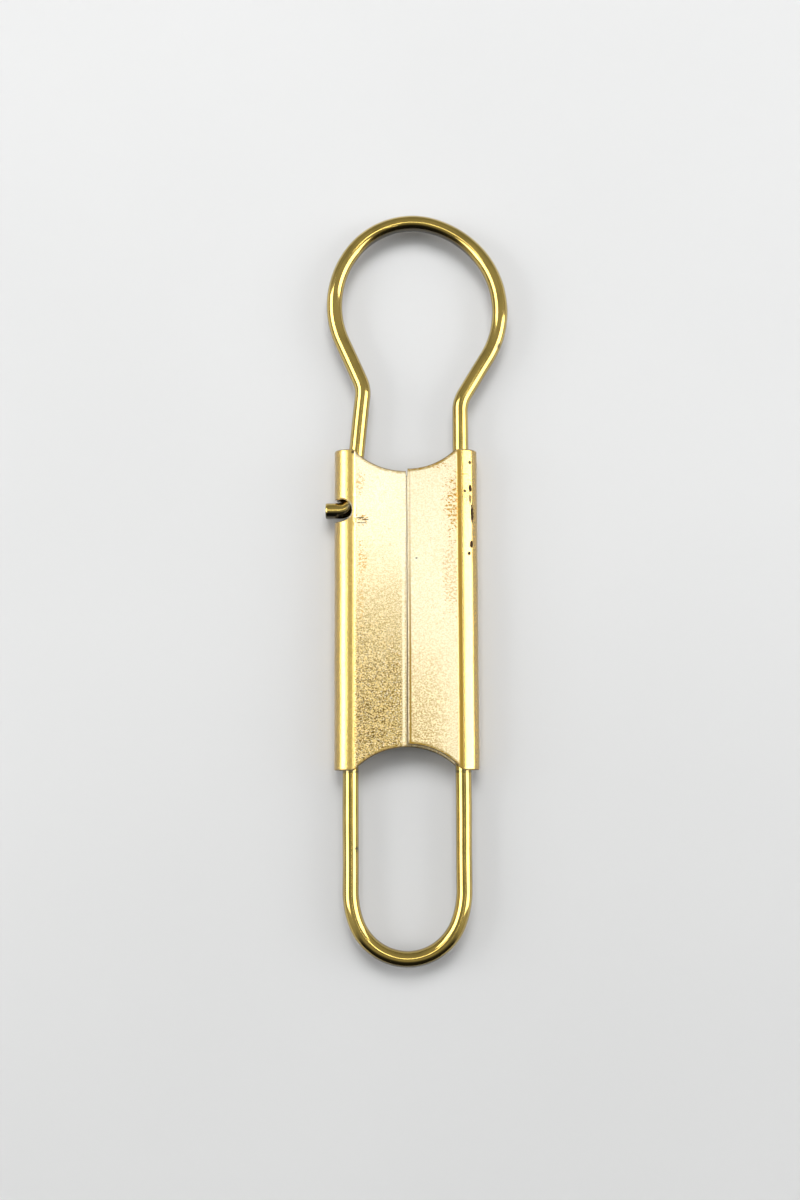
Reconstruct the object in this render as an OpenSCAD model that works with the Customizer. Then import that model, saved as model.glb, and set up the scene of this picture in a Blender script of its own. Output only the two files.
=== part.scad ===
// Belt key clip: one sprung brass wire, looped at both ends, held shut by a folded sheet sleeve.
// It lies on its back. +Y points to the belt loop, +X to the right, +Z out of the sleeve's seamed front.

/* [Wire] */
// Diameter of the wire
wire_d = 2.5; // [2.2:0.05:2.8]
// Bevel left round each cut end of the wire
tip_bevel = 0.2; // [0.1:0.05:0.4]
// Centreline radius of the small bends where the necks leave the loop
kink_r = 3.5; // [2.5:0.1:5]
// How much the wire's radius draws down where it is bent
bend_thin = 0.02; // [0.015:0.005:0.04]
// How far a full length of wire laps over the thinner bend it meets
join_lap = 0.06; // [0.04:0.01:0.08]

/* [Sleeve] */
// Length of the sleeve
sleeve_l = 50; // [42:0.5:58]
// Width of the sleeve over both rolled edges
sleeve_w = 22.3; // [20:0.1:25]
// Thickness of the sheet
sheet_t = 0.7; // [0.5:0.05:0.9]
// Flat strip along the top of each rolled edge
crest_flat = 0.5; // [0.3:0.1:0.9]
// Width of the crease between a rolled edge and the web
crease_w = 0.7; // [0.4:0.1:1.2]
// Gap of the seam where the two flaps meet
seam_gap = 0.3; // [0.1:0.05:0.6]
// Chord of the scoop cut into each end
scoop_w = 16.4; // [12:0.1:17]
// Depth of each scoop
scoop_depth = 3.6; // [2:0.1:5]
// How far the right flap was folded towards the belt loop
flap_step = 0.4; // [0.1:0.05:0.8]

/* [Belt loop] */
// Radius of the crown, the tighter arc over the top of the loop
crown_r = 11.75; // [10.5:0.05:13]
// How far the crown's centre stands to the right of the sleeve's middle
crown_shift = 1.15; // [0:0.05:2.3]
// Height of the crown's centre above the sleeve
crown_h = 25.3; // [23:0.1:28]
// How far the right side bulges out past the crown's circle
right_bulge = 2.07; // [1.6:0.01:2.5]
// How far the left side bulges out past the crown's circle
left_bulge = 0.71; // [0.5:0.01:1.1]
// How far below the crown's centre the right side is widest
right_drop = 2.82; // [2.6:0.01:3.4]
// How far below the crown's centre the left side is widest
left_drop = 1.85; // [1.6:0.01:2.4]
// How far the right neck flares out, in degrees
right_flare = 31; // [27:0.5:35]
// How far the left neck flares out, in degrees
left_flare = 24; // [20:0.5:28]

/* [Latch pin] */
// Distance of the pin below the sleeve's upper end
pin_below_end = 9.6; // [8:0.1:14]
// How far the pin sticks out of the sleeve
pin_out = 1.4; // [0.8:0.1:2.5]
// Centreline radius of the bend into the pin
pin_bend_r = 2; // [1.8:0.1:3]
// Outward lean of the latch leg, in degrees
latch_lean = 5.9; // [4.5:0.1:7]
// Depth of the notch in the sleeve's left edge
notch_depth = 2.8; // [2.2:0.1:3.4]

/* [Key loop] */
// Straight wire between the sleeve and the key loop's bend
key_leg = 17.85; // [12:0.05:25]
// Radius of the two shoulders of the bend
shoulder_r = 14; // [10:0.5:20]
// Turn of each shoulder, in degrees
shoulder_turn = 20; // [10:1:30]
// Depth of the free key end inside the sleeve
key_tip_in = 4.5; // [2:0.5:10]

/* [Clearances] */
// Room between the wire and the sheet under a rolled edge's crest
crest_clear = 0.35; // [0.2:0.05:0.6]
// Room between the wire and the sheet under the web
web_clear = 0.1; // [0.05:0.01:0.2]
// Room between the wire and the outer wall of a rolled edge
side_clear = 0.55; // [0.3:0.05:0.9]
// Room above and below the pin in its notch
notch_clear = 0.45; // [0.2:0.05:0.8]
// Cut across the wire where a sprung arm bends
flex_gap = 0.2; // [0.15:0.01:0.3]

/* [Hidden] */
$fn = 96;
RIGHT_TURN = 90;
HALF_TURN = 180;
// How far every cut runs past the sheet
over = 1;
wire_r = wire_d / 2;
bent_r = wire_r - bend_thin;

// Sheet: outer radius of a rolled edge, half thickness over the web, and the stations across the width
bend_r = wire_r + crest_clear + sheet_t;
web_half = wire_r + web_clear + sheet_t;
bend_x = sleeve_w / 2 - bend_r;
crest_x = bend_x - crest_flat;
web_x = crest_x - crease_w;
mid_z = bend_r;
scoop_r = (pow(scoop_w / 2, 2) + pow(scoop_depth, 2)) / (2 * scoop_depth);
notch_w = wire_d + 2 * notch_clear;

// Wire: where the legs stand in the sleeve, and where the latch leg turns out to be the pin
leg_x = sleeve_w / 2 - sheet_t - side_clear - wire_r;
end_y = sleeve_l / 2;
pin_y = end_y - pin_below_end;
pin_tip = [-sleeve_w / 2 - pin_out, pin_y];
pin_corner = [-leg_x, pin_y];

// Headings, counter-clockwise from +X, of the runs as they climb
latch_up = RIGHT_TURN - latch_lean;
left_up = RIGHT_TURN + left_flare;
right_up = RIGHT_TURN - right_flare;

// Loop: a side that bulges past the crown's circle, and is widest below it, has one radius that fits
function along(a) = [cos(a), sin(a)];
function across(a) = [-sin(a), cos(a)];
function bearing(v) = atan2(v.y, v.x);
function side_radius(bulge, drop) = crown_r + bulge / 2 + pow(drop, 2) / (2 * bulge);
function lap_angle(radius) = join_lap / radius * HALF_TURN / PI;
function bend_setback(radius, from, to) = radius * tan(abs(to - from) / 2);
crown_centre = [crown_shift, end_y + crown_h];
right_r = side_radius(right_bulge, right_drop);
left_r = side_radius(left_bulge, left_drop);
right_centre = crown_centre + [crown_r + right_bulge - right_r, -right_drop];
left_centre = crown_centre + [left_r - left_bulge - crown_r, -left_drop];
right_join = bearing(crown_centre - right_centre);
left_join = bearing(crown_centre - left_centre);

// The left half springs at the middle of the crown
crown_flex = (right_join + left_join) / 2;
crown_cut = asin(flex_gap / 2 / crown_r);
crown_top = crown_centre.y + crown_r + wire_r;
right_top = right_centre.y + right_r + bent_r;

// Necks: each leaves its side at its own flare and runs down to the line of its leg
function crossing(from, a, to, b) = from + cross(to - from, along(b)) / cross(along(a), along(b)) * along(a);
right_end = right_centre - right_r * across(right_up);
left_end = left_centre + left_r * across(left_up);
right_corner = crossing(right_end, right_up, [leg_x, end_y], RIGHT_TURN);
left_corner = crossing(left_end, left_up, pin_corner, latch_up);

// Key loop: two shoulders and a rounder bottom that touches both
shoulder_y = -end_y - key_leg;
shoulder_x = leg_x - shoulder_r;
key_r = (leg_x - shoulder_r * (1 - cos(shoulder_turn))) / cos(shoulder_turn);
key_y = shoulder_y - (shoulder_r - key_r) * sin(shoulder_turn);
key_cut = asin(flex_gap / 2 / key_r);
key_tip_y = -end_y + key_tip_in;

// The origin is under the middle of the whole clip
low = [min(pin_tip.x, crown_shift - crown_r - left_bulge - bent_r), key_y - key_r - wire_r];
high = [crown_shift + crown_r + right_bulge + bent_r, right_join > RIGHT_TURN ? right_top : crown_top];
middle = (low + high) / 2;

// Everything is drawn about the sleeve's centre line and set down here
module placed() {
    translate([-middle.x, -middle.y, 0]) children();
}

// A straight length of wire between two points, lapped over the bend at each end
module wire_run(from, to) {
    heading = bearing(to - from);
    start = from - join_lap * along(heading);
    translate([start.x, start.y, mid_z])
        rotate([0, RIGHT_TURN, heading])
            cylinder(r = wire_r, h = norm(to - from) + 2 * join_lap);
}

// A straight length of wire from a bend to a cut end, with the end's edge bevelled off
module wire_end(from, to) {
    heading = bearing(to - from);
    start = from - join_lap * along(heading);
    length = norm(to - start);
    translate([start.x, start.y, mid_z])
        rotate([0, RIGHT_TURN, heading])
            rotate_extrude()
                polygon([[0, 0], [wire_r, 0], [wire_r, length - tip_bevel], [wire_r - tip_bevel, length], [0, length]]);
}

// A length of wire of its own thickness, bent round a centre between two bearings
module wire_arc(centre, radius, from, to, thick) {
    translate([centre.x, centre.y, mid_z])
        rotate([0, 0, from])
            rotate_extrude(angle = to - from)
                translate([radius, 0])
                    circle(r = thick);
}

// A tight bend at a corner, from one heading to another
module wire_bend(corner, from, to, radius) {
    side = sign(to - from);
    centre = corner - bend_setback(radius, from, to) * along(from) + side * radius * across(from);
    first = from - side * RIGHT_TURN;
    last = to - side * RIGHT_TURN;
    wire_arc(centre, radius, min(first, last), max(first, last), bent_r);
}

// Section of the sleeve, drawn inwards from its outer face by an inset
module folded_section(inset) {
    crest = bend_r - inset;
    web = web_half - inset;
    upper = [[bend_x, crest], [crest_x, crest], [web_x, web], [-web_x, web], [-crest_x, crest], [-bend_x, crest]];
    lower = [for (p = upper) [-p.x, -p.y]];
    polygon(concat(upper, lower));
    for (side = [-1, 1]) translate([side * bend_x, 0]) circle(r = crest);
}

// The folded sheet before its ends are scooped
module folded_sheet() {
    translate([0, end_y, mid_z])
        rotate([RIGHT_TURN, 0, 0])
            linear_extrude(height = sleeve_l)
                difference() {
                    folded_section(0);
                    folded_section(sheet_t);
                    translate([-seam_gap / 2, 0]) square([seam_gap, mid_z + over]);
                }
}

// Scoops at both ends, moved along the sleeve by a step
module end_scoops(step) {
    reach = end_y - scoop_depth + scoop_r;
    for (end = [-1, 1])
        translate([0, end * reach + step, -over])
            cylinder(r = scoop_r, h = 2 * (mid_z + over));
}

// The quarter of the sleeve that holds the right flap
module right_flap_space() {
    translate([0, -end_y - over, mid_z])
        cube([sleeve_w, sleeve_l + 2 * (over + flap_step), mid_z + 2 * over]);
}

// Round-ended notch punched through the left rolled edge for the pin
module pin_notch() {
    round_x = -sleeve_w / 2 + notch_depth - notch_w / 2;
    translate([round_x, pin_y, -over]) cylinder(d = notch_w, h = 2 * (mid_z + over));
    translate([-sleeve_w / 2 - over, pin_y - notch_w / 2, -over])
        cube([round_x + sleeve_w / 2 + over, notch_w, 2 * (mid_z + over)]);
}

module sleeve() {
    color([0.87, 0.75, 0.47]) placed() difference() {
        folded_sheet();
        difference() {
            end_scoops(0);
            right_flap_space();
        }
        intersection() {
            end_scoops(flap_step);
            right_flap_space();
        }
        pin_notch();
    }
}

// The half of the key loop on one side: 1 is the right and -1 the left
module key_loop_half(side) {
    leg = side > 0 ? 0 : HALF_TURN;
    join = leg - side * shoulder_turn;
    lapped = join + side * lap_angle(key_r);
    bottom = leg - side * (RIGHT_TURN - key_cut);
    wire_arc([0, key_y], key_r, min(lapped, bottom), max(lapped, bottom), wire_r);
    wire_arc([side * shoulder_x, shoulder_y], shoulder_r, min(leg, join), max(leg, join), bent_r);
}

// The part of the wire that stays put: half the crown, the right side, the right leg and half the key loop
module spine_wire() {
    setback = bend_setback(kink_r, RIGHT_TURN, right_up);
    color([0.74, 0.6, 0.27]) placed() {
        wire_arc(crown_centre, crown_r, right_join - lap_angle(crown_r), crown_flex - crown_cut, wire_r);
        wire_arc(right_centre, right_r, right_up - RIGHT_TURN, right_join, bent_r);
        wire_run(right_corner + setback * along(right_up), right_end);
        wire_bend(right_corner, RIGHT_TURN, right_up, kink_r);
        wire_run([leg_x, shoulder_y], right_corner - [0, setback]);
        key_loop_half(1);
    }
}

// The left side of the belt loop, down through its neck's bend
module latch_bow() {
    setback = bend_setback(kink_r, latch_up, left_up);
    color([0.74, 0.6, 0.27]) placed() {
        wire_arc(crown_centre, crown_r, crown_flex + crown_cut, left_join + lap_angle(crown_r), wire_r);
        wire_arc(left_centre, left_r, left_join, left_up + RIGHT_TURN, bent_r);
        wire_run(left_corner + setback * along(left_up), left_end);
        wire_bend(left_corner, latch_up, left_up, kink_r);
    }
}

// The sprung leg that runs down into the sleeve and turns out through the notch as the pin
module latch_leg() {
    top = left_corner - bend_setback(kink_r, latch_up, left_up) * along(latch_up);
    pin_setback = bend_setback(pin_bend_r, 0, latch_up);
    color([0.74, 0.6, 0.27]) placed() {
        wire_run(pin_corner + pin_setback * along(latch_up), top - join_lap * along(latch_up));
        wire_bend(pin_corner, 0, latch_up, pin_bend_r);
        wire_end(pin_corner - [pin_setback, 0], pin_tip);
    }
}

// The left side of the key loop, whose free end stops inside the sleeve
module key_arm() {
    color([0.74, 0.6, 0.27]) placed() {
        key_loop_half(-1);
        wire_end([-leg_x, shoulder_y], [-leg_x, key_tip_y]);
    }
}

sleeve();
spine_wire();
latch_bow();
latch_leg();
key_arm();
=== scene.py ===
import logging
import math
from dataclasses import dataclass, field
from enum import Enum

import bpy
import numpy as np
from mathutils import Matrix, Quaternion, Vector


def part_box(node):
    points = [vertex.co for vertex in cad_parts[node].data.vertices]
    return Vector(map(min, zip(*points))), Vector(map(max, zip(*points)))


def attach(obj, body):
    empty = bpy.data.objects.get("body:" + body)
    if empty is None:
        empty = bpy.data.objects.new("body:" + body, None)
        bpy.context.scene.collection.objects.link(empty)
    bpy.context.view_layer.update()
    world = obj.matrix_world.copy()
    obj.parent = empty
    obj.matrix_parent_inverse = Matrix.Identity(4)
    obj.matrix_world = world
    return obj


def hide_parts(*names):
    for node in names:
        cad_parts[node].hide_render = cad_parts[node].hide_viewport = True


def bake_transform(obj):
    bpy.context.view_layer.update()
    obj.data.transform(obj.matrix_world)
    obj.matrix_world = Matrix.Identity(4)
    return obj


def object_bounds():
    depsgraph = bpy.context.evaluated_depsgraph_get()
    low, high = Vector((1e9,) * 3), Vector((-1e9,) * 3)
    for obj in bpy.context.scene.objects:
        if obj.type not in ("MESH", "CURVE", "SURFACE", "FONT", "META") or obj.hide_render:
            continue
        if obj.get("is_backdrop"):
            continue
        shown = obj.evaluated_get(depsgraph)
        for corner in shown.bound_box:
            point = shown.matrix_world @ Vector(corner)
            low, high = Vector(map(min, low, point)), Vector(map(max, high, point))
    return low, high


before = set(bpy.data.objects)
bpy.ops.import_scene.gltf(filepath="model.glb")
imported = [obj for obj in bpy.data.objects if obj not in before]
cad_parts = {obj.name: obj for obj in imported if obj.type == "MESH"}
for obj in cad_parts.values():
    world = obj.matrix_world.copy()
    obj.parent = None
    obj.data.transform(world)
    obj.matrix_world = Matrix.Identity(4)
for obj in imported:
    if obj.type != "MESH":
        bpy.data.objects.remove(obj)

# The belt key clip: a bent brass wire and a folded brass sleeve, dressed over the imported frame.
# Sizes are in millimetres about the sleeve's middle, and are set down in metres in the frame.

MM = 0.001
HALF_TURN = 180.0
RIGHT_TURN = 90.0
EDGE_TURNS = ((30.0, 1), (60.0, 1), (90.0, 1), (90.0, -1), (120.0, -1), (150.0, -1))
SMOOTH = {"interpolation_type": "SMOOTHSTEP"}
log = logging.getLogger("belt_key_clip")

Colour = tuple[float, float, float]
Stretch = tuple[float, float, float]
Point = tuple[float, float]
Faces = list[tuple[int, ...]]


class Kept(Enum):
    """What is kept on a mesh's vertices for its material to read."""

    WIRE_LAY = "wire_lay"
    WIRE_PLACE = "wire_place"
    # Painted shade on the wire, together with its dark nicks.
    SHADE_AND_NICKS = "shade_and_nicks"
    SHEET_LAY = "sheet_lay"
    CUT_EDGE = "cut_edge"
    NEAR_EDGE = "near_edge"


def along(degrees: float) -> np.ndarray:
    """The unit direction at a heading, counter-clockwise from +X."""
    return np.array([math.cos(math.radians(degrees)), math.sin(math.radians(degrees))])


def across(degrees: float) -> np.ndarray:
    """The unit direction a quarter turn to the left of a heading."""
    return along(degrees + RIGHT_TURN)


def bearing(v: np.ndarray) -> float:
    """The heading of a plane vector, in degrees."""
    return math.degrees(math.atan2(v[1], v[0]))


def cross(a: np.ndarray, b: np.ndarray) -> float:
    """The cross product of two plane vectors."""
    return float(a[0] * b[1] - a[1] * b[0])


def ease(t: np.ndarray) -> np.ndarray:
    """Smooth step from 0 to 1 as t runs from 0 to 1."""
    held = np.clip(t, 0.0, 1.0)
    return held * held * (3.0 - 2.0 * held)


def lengths_along(points: np.ndarray) -> np.ndarray:
    """How far along a line of points each one of them stands."""
    spans = np.linalg.norm(np.diff(points, axis=0), axis=1)
    return np.concatenate([[0.0], np.cumsum(spans)])


def ring_at(index: int, sides: int) -> list[int]:
    """The vertices of one ring, where rings of so many sides follow one another."""
    return list(range(index * sides, (index + 1) * sides))


def stitched(a: list[int], b: list[int], flipped: bool = False) -> Faces:
    """The quads that join two closed rings of vertices, which may be wound the other way."""
    corners = zip(a, a[1:] + a[:1], b[1:] + b[:1], b)
    return [(p, s, r, q) if flipped else (p, q, r, s) for p, q, r, s in corners]


def fan(middle: int, ring: list[int]) -> Faces:
    """The triangles that join one vertex to a closed ring."""
    return [(middle, p, q) for p, q in zip(ring, ring[1:] + ring[:1])]


class Wired:
    """A shader socket that takes part in sums; each sum adds a Math or Vector Math node."""

    def __init__(self, recipe: "Recipe", socket: bpy.types.NodeSocket) -> None:
        """Wraps an output socket of a node tree."""
        self.recipe = recipe
        self.socket = socket

    def _sum(self, operation: str, *terms: "Wired | float | tuple") -> "Wired":
        """Adds the Math or Vector Math node for one operation.

        Args:
            operation: the node's operation.
            terms: what goes into its sockets, in order.

        Returns:
            The node's result.
        """
        vectors = any(isinstance(t, tuple) or getattr(t, "is_vector", False) for t in terms)
        if vectors:
            terms = tuple((t, t, t) if isinstance(t, float) else t for t in terms)
        kind = "ShaderNodeVectorMath" if vectors else "ShaderNodeMath"
        return self.recipe.node(kind, {"operation": operation}, dict(enumerate(terms)))

    @property
    def is_vector(self) -> bool:
        """True if the socket carries a vector or a colour."""
        return self.socket.type in {"VECTOR", "RGBA"}

    def __add__(self, other: "Wired | float | tuple") -> "Wired":
        """Self plus other."""
        return self._sum("ADD", self, other)

    __radd__ = __add__

    def __sub__(self, other: "Wired | float | tuple") -> "Wired":
        """Self less other."""
        return self._sum("SUBTRACT", self, other)

    def __rsub__(self, other: "Wired | float | tuple") -> "Wired":
        """Other less self."""
        return self._sum("SUBTRACT", other, self)

    def __mul__(self, other: "Wired | float | tuple") -> "Wired":
        """Self times other."""
        return self._sum("MULTIPLY", self, other)

    __rmul__ = __mul__

    def __truediv__(self, other: "Wired | float | tuple") -> "Wired":
        """Self over other."""
        return self._sum("DIVIDE", self, other)

    def __rtruediv__(self, other: "Wired | float | tuple") -> "Wired":
        """Other over self."""
        return self._sum("DIVIDE", other, self)

    def most(self, other: "Wired | float") -> "Wired":
        """The larger of self and other."""
        return self._sum("MAXIMUM", self, other)

    def least(self, other: "Wired | float") -> "Wired":
        """The smaller of self and other."""
        return self._sum("MINIMUM", self, other)

    def size(self) -> "Wired":
        """Self without its sign."""
        return self._sum("ABSOLUTE", self)

    def length(self) -> "Wired":
        """The length of a vector."""
        return self.recipe.node("ShaderNodeVectorMath", {"operation": "LENGTH"}, {0: self}, "Value")

    def part(self, axis: str) -> "Wired":
        """One part of a vector, named X, Y or Z."""
        return self.recipe.node("ShaderNodeSeparateXYZ", {}, {"Vector": self}, axis)


class Recipe:
    """The node tree of one material, or of the world."""

    def __init__(self, tree: bpy.types.NodeTree) -> None:
        """Starts from a node tree, emptied."""
        tree.nodes.clear()
        self.tree = tree

    @staticmethod
    def _socket(sockets: bpy.types.bpy_prop_collection, key: str | int) -> bpy.types.NodeSocket:
        """Finds a socket by its place, identifier or name.

        Args:
            sockets: a node's inputs or outputs.
            key: the place, identifier or name.

        Returns:
            The socket.
        """
        if isinstance(key, int):
            return sockets[key]
        for socket in sockets:
            if socket.identifier == key:
                return socket
        return sockets[key]

    def node(
        self,
        kind: str,
        settings: dict[str, object] | None = None,
        inputs: dict[str | int, object] | None = None,
        output: str | int = 0,
    ) -> Wired:
        """Adds one node, sets it, and fills its sockets.

        Args:
            kind: the node's type.
            settings: its properties.
            inputs: values or wired sockets by place, identifier or name.
            output: which of its outputs is wanted.

        Returns:
            The wanted output.
        """
        made = self.tree.nodes.new(kind)
        for name, value in (settings or {}).items():
            setattr(made, name, value)
        for key, value in (inputs or {}).items():
            socket = self._socket(made.inputs, key)
            if isinstance(value, Wired):
                self.tree.links.new(value.socket, socket)
            elif socket.type == "RGBA" and len(value) == 3:
                socket.default_value = (*value, 1.0)
            else:
                socket.default_value = value
        return Wired(self, self._socket(made.outputs, output) if made.outputs else None)

    def mix(self, share: "Wired | float", a: "Wired | Colour", b: "Wired | Colour") -> Wired:
        """The first colour with a share of the second over it."""
        sockets = {"Factor_Float": share, "A_Color": a, "B_Color": b}
        return self.node("ShaderNodeMix", {"data_type": "RGBA"}, sockets, "Result_Color")

    def kept(self, kept: Kept, output: str) -> Wired:
        """What is kept on the mesh, read as a "Vector" or as a "Fac"."""
        return self.node("ShaderNodeAttribute", {"attribute_name": kept.value}, {}, output)

    def bump(self, height: Wired, depth: float, strength: float) -> Wired:
        """A normal bumped by a height that counts as so many millimetres."""
        sockets = {"Strength": strength, "Distance": depth * MM, "Height": height}
        return self.node("ShaderNodeBump", {}, sockets)

    def glow(self, colour: Colour) -> Wired:
        """A plain glow of one colour."""
        return self.node("ShaderNodeEmission", {}, {"Color": colour, "Strength": 1.0})

    def principled(self, sockets: dict[str, object]) -> Wired:
        """A Principled shader with these sockets."""
        return self.node("ShaderNodeBsdfPrincipled", {}, sockets)

    def show(self, surface: Wired) -> None:
        """Ends a material's tree in its surface."""
        self.node("ShaderNodeOutputMaterial", {}, {"Surface": surface})


def new_material(name: str) -> tuple[bpy.types.Material, Recipe]:
    """Makes an empty material.

    Args:
        name: its name.

    Returns:
        The material, and the recipe that fills it.
    """
    made = bpy.data.materials.new(name)
    made.use_nodes = True
    return made, Recipe(made.node_tree)


@dataclass(frozen=True)
class Noise:
    """Soft noise about 0.5: its stretch, features per unit, octaves, and the finer ones' weight."""

    stretch: Stretch
    scale: float = 1.0
    detail: float = 2.0
    rough: float = 0.5

    def laid(self, lay: Wired) -> Wired:
        """The noise, read at a place."""
        sockets = {
            "Vector": lay * self.stretch,
            "Scale": self.scale,
            "Detail": self.detail,
            "Roughness": self.rough,
        }
        return lay.recipe.node("ShaderNodeTexNoise", {}, sockets, "Fac")


@dataclass(frozen=True)
class Ramp:
    """A smooth step: where a value starts and ends it, and what it gives there."""

    start: float
    end: float
    low: float = 0.0
    high: float = 1.0

    def of(self, value: Wired) -> Wired:
        """The step of a value."""
        sockets = {
            "Value": value,
            "From Min": self.start,
            "From Max": self.end,
            "To Min": self.low,
            "To Max": self.high,
        }
        return value.recipe.node("ShaderNodeMapRange", SMOOTH, sockets, "Result")

    def over(self, values: np.ndarray) -> np.ndarray:
        """The step of plain numbers."""
        share = ease((values - self.start) / (self.end - self.start))
        return self.low + (self.high - self.low) * share


@dataclass(frozen=True)
class Line:
    """A line along which a mark is drawn, some of them painted shade: its place, and the step of
    the distance from it.
    """

    place: float
    fade: Ramp

    def drawn(self, where: Wired) -> Wired:
        """How much of the line shows."""
        return self.fade.of((where - self.place).size())


@dataclass(frozen=True)
class Ripple:
    """A slight wave: its height, and how fast it turns with each of two measures."""

    height: float
    first: float
    second: float

    def at(self, a: np.ndarray, b: np.ndarray | float) -> np.ndarray:
        """The wave where the two measures are a and b."""
        return self.height * np.sin(a * self.first + b * self.second)


@dataclass(frozen=True)
class DrawnWire:
    """Polished drawn wire, with lengthwise die lines, an old olive tarnish, dark nicks, and painted
    shade on its low flanks, on its sides facing the key end, in the notch and round the sleeve's
    lower mouth.
    """

    clean: Colour = (0.56, 0.39, 0.06)
    aged: Colour = (0.34, 0.235, 0.022)
    # Painted shade for the wire's low flanks, which turn down and away from the light.
    shaded: Colour = (0.34, 0.3, 0.18)
    stain: Colour = (0.1, 0.06, 0.02)
    # Near black: painted shade on the wire, and the dark of its nicks.
    shade_and_nicks: Colour = (0.016, 0.012, 0.004)
    lines: Noise = Noise((6.0, 6.0, 0.12), 1.0, 3.0, 0.6)
    cloud: Noise = Noise((0.8, 0.8, 0.25), 1.0, 3.0)
    grit: Noise = Noise((4.0, 4.0, 4.0))
    specks: Noise = Noise((1.6, 1.6, 0.9), 1.0, 4.0, 0.7)
    clouded: Ramp = Ramp(0.35, 0.75, 0.0, 0.7)
    lined: Ramp = Ramp(0.52, 0.68, 0.0, 0.55)
    # Painted shade: how much the low flanks are darkened.
    flank: Ramp = Ramp(0.55, 0.1)
    specked: Ramp = Ramp(0.7, 0.78, 0.0, 0.7)
    # Painted shadow: a dark ring round the wire just below the sleeve's lower mouth.
    mouth: Line = Line(-25.15, Ramp(0.26, 0.14, 0.0, 0.6))
    line_relief: float = 0.7
    grit_relief: float = 0.3
    relief_depth: float = 0.006
    relief_strength: float = 0.35
    haze: float = 0.02
    cloud_haze: float = 0.1
    line_haze: float = 0.06
    shade_and_nick_haze: float = 0.15
    coat: float = 0.9
    coat_haze: float = 0.12
    coat_index: float = 1.68

    def material(self) -> bpy.types.Material:
        """Makes the material.

        Returns:
            The material.
        """
        made, recipe = new_material("drawn_wire_brass")
        lay = recipe.kept(Kept.WIRE_LAY, "Vector")
        lines, cloud = self.lines.laid(lay), self.cloud.laid(lay)
        worn = recipe.mix(self.clouded.of(cloud), self.clean, self.aged)
        lined = recipe.mix(self.lined.of(lines), worn, self.aged)
        # Painted shade: the wire's low flanks are darkened in its colour.
        flank_shaded = recipe.mix(self.flank.of(lay.part("Y")), lined, lined * self.shaded)
        stained = recipe.mix(self.specked.of(self.specks.laid(lay)), flank_shaded, self.stain)
        # Painted shadow ring at the sleeve's lower mouth.
        mouth = self.mouth.drawn(recipe.kept(Kept.WIRE_PLACE, "Vector").part("Y"))
        # Painted shade and shadow, as kept on the mesh and at the lower mouth, together with the
        # real nicks.
        shade_and_nicks = recipe.kept(Kept.SHADE_AND_NICKS, "Fac").most(mouth)
        relief = lines * self.line_relief + self.grit.laid(lay) * self.grit_relief
        haze = cloud * self.cloud_haze + lines * self.line_haze + shade_and_nicks * self.shade_and_nick_haze
        recipe.show(recipe.principled({
            "Base Color": recipe.mix(shade_and_nicks, stained, self.shade_and_nicks),
            "Metallic": 1.0,
            "Roughness": haze + self.haze,
            "Coat Weight": self.coat,
            "Coat Roughness": self.coat_haze,
            "Coat IOR": self.coat_index,
            "Normal": recipe.bump(relief, self.relief_depth, self.relief_strength),
        }))
        return made


@dataclass(frozen=True)
class Mark:
    """A stain or pit on the front: its place and half size, how it shows and how broken it is."""

    place: Point
    reach: Point
    strength: float = 1.0
    broken: float = 0.0
    outline: Ramp = Ramp(1.1, 0.85)
    broken_outline: Ramp = Ramp(0.6, 0.2)
    broken_core: float = 0.5
    broken_reach: float = 5.0

    def drawn(self, lay: Wired, flecks: Wired) -> Wired:
        """Draws the mark.

        Args:
            lay: the place on the sheet.
            flecks: a noise that breaks its outline.

        Returns:
            How much of the mark shows.
        """
        shrunk = (1 / self.reach[0], 1 / self.reach[1], 0.0)
        away = ((lay - (*self.place, 0.0)) * shrunk).length().most(self.broken_core * self.broken)
        start = self.outline.start + (self.broken_outline.start - self.outline.start) * self.broken
        end = self.outline.end + (self.broken_outline.end - self.outline.end) * self.broken
        worn_away = (flecks - 0.5) * (-self.broken_reach * self.broken)
        return Ramp(start, end, 0.0, self.strength).of(away + worn_away)


class SheetPlaces:
    """The places on the sheet, and the noises that several parts of its finish are made from."""

    def __init__(self, recipe: Recipe, sheet: "SatinSheet") -> None:
        """Reads the places and lays the noises.

        Args:
            recipe: the material's node tree.
            sheet: the finish.
        """
        self.recipe = recipe
        self.lay = recipe.kept(Kept.SHEET_LAY, "Vector")
        self.x, self.y, self.z = (self.lay.part(axis) for axis in "XYZ")
        self.off_middle = self.x.size()
        self.near_edge = recipe.kept(Kept.NEAR_EDGE, "Fac")
        self.front = sheet.front.of(self.z)
        self.grain = sheet.grain.laid(self.lay)
        self.grainy = sheet.grainy.of(self.grain)
        self.dashes = sheet.dashes.laid(self.lay)
        self.dots = sheet.dots.laid(self.lay)


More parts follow.
